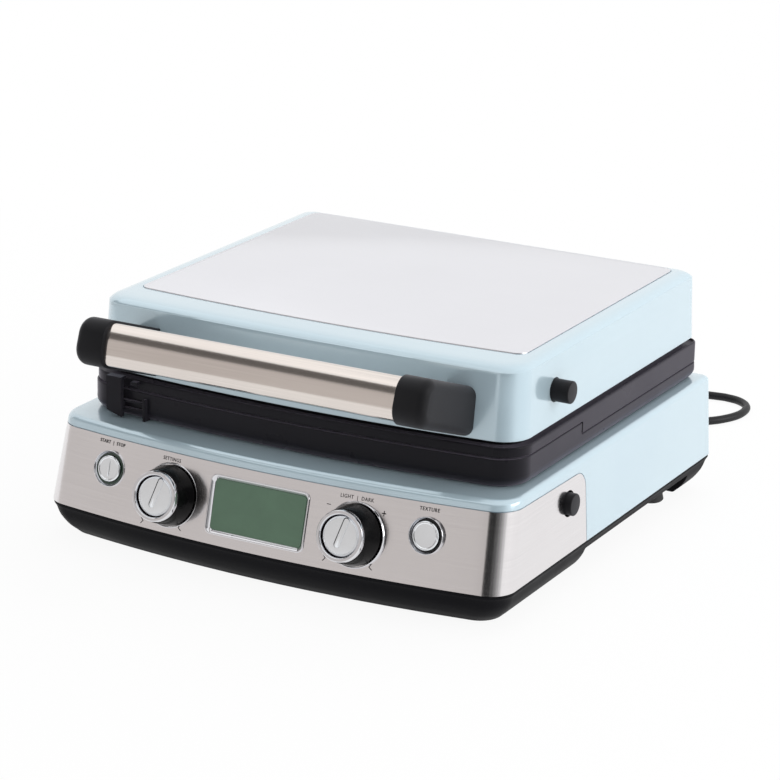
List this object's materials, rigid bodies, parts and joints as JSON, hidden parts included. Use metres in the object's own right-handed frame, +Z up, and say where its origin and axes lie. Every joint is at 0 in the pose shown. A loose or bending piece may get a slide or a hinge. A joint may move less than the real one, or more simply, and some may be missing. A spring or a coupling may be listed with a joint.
{
  "type": "waffle maker",
  "caption": "Electric countertop waffle maker with a hinged lid on a bowed base, a steel tube handle, square moulds, dials, push buttons, a display and a mains lead.",
  "frame": {"origin": "centre of the machine's own box, without the free mains lead, on the table under its feet", "axes": "+X towards the side with the plate release buttons, +Y towards the hinge at the rear, +Z up; the control panel faces -Y"},
  "size_m": [0.3881, 0.6032, 0.1827],
  "materials": {
    "housing_paint": "satin paint, pale blue",
    "brushed_steel": "brushed",
    "chrome": "polished",
    "satin_metal": "satin",
    "pan_plastic": "fine matte grain",
    "foot_rubber": "matte",
    "tray_plastic": "fine matte grain",
    "handle_plastic": "satin",
    "dial_black": "gloss",
    "lens_green": "gloss",
    "display_glass": "polished",
    "display_module": "matte",
    "circuit_board": "matte",
    "mould_coating": "ceramic non-stick coating, satin",
    "heater_sheath": "oxidised",
    "reflector": "bright",
    "fixings": "zinc plated",
    "spring_steel": "bright",
    "hinge_plastic": "satin",
    "cord_pvc": "satin"
  },
  "bodies": {
    "base": {"base_pan": "pan_plastic", "rubber_feet": "foot_rubber", "pan_screws": "fixings", "base_housing": "housing_paint", "control_panel": "brushed_steel", "lcd_bezel": "chrome", "lcd_glass": "display_glass", "lcd_module": "display_module", "dial_collars": "chrome", "dial_encoders": "fixings", "button_rings": "chrome", "start_lens": "lens_green", "texture_gasket": "dial_black", "button_switches": "display_module", "control_boards": "circuit_board", "power_board": "circuit_board", "heat_shield": "reflector", "lower_tray": "tray_plastic", "lower_reflector": "reflector", "lower_heater": "heater_sheath", "lower_sensor": "fixings", "lower_waffle_plate": "mould_coating", "lower_plate_hooks": "fixings", "lower_release_guide": "fixings", "lower_release_spring": "spring_steel", "hinge_towers": "hinge_plastic", "hinge_pins": "satin_metal", "cord_gland": "cord_pvc", "cord_run": "cord_pvc", "cord_coil": "cord_pvc", "cord_tie": "foot_rubber", "mains_plug": "cord_pvc"},
    "lid": {"lid_shell": "housing_paint", "lid_plate": "brushed_steel", "upper_tray": "tray_plastic", "upper_reflector": "reflector", "upper_heater": "heater_sheath", "upper_sensor": "fixings", "upper_waffle_plate": "mould_coating", "upper_plate_hooks": "fixings", "upper_release_guide": "fixings", "upper_release_spring": "spring_steel", "handle_tube": "satin_metal", "handle_arms": "handle_plastic", "handle_screws": "fixings", "hinge_arms": "hinge_plastic", "hinge_screws": "fixings"},
    "settings_dial": {"settings_knob": "dial_black", "settings_bezel": "chrome", "settings_cap": "satin_metal"},
    "shade_dial": {"shade_knob": "dial_black", "shade_bezel": "chrome", "shade_cap": "satin_metal"},
    "start": {"start_button": "satin_metal"},
    "texture": {"texture_button": "satin_metal"},
    "lower_release": {"lower_release_button": "dial_black"},
    "upper_release": {"upper_release_button": "dial_black"},
    "storage_lock": {"lid_lock": "tray_plastic"}
  },
  "joints": [
    {"name": "lid_hinge", "type": "hinge", "parent": "base", "child": "lid", "pos_m": [0, 0.1834, 0.104], "axis": [-1, 0, 0], "range_deg": [0, 100]},
    {"name": "settings_turn", "type": "hinge", "parent": "base", "child": "settings_dial", "pos_m": [-0.077, -0.18789, 0.05473], "axis": [0, -0.9653, 0.2613], "continuous": true},
    {"name": "shade_turn", "type": "hinge", "parent": "base", "child": "shade_dial", "pos_m": [0.077, -0.18789, 0.05473], "axis": [0, -0.9653, 0.2613], "continuous": true},
    {"name": "start_press", "type": "slide", "parent": "base", "child": "start", "axis": [0, 0.9653, -0.2613], "range_m": [0, 0.0015], "stiffness_N_per_m": 600, "springref_m": -0.0006},
    {"name": "texture_press", "type": "slide", "parent": "base", "child": "texture", "axis": [0, 0.9653, -0.2613], "range_m": [0, 0.0015], "stiffness_N_per_m": 600, "springref_m": -0.0006},
    {"name": "lower_release_press", "type": "slide", "parent": "base", "child": "lower_release", "axis": [-1, 0, 0], "range_m": [0, 0.004], "stiffness_N_per_m": 900, "springref_m": -0.002, "deforming": ["lower_release_spring"]},
    {"name": "upper_release_press", "type": "slide", "parent": "lid", "child": "upper_release", "axis": [-1, 0, 0], "range_m": [0, 0.004], "stiffness_N_per_m": 900, "springref_m": -0.002, "deforming": ["upper_release_spring"]},
    {"name": "lock_slide", "type": "slide", "parent": "base", "child": "storage_lock", "axis": [1, 0, 0], "range_m": [0, 0.01]}
  ]
}
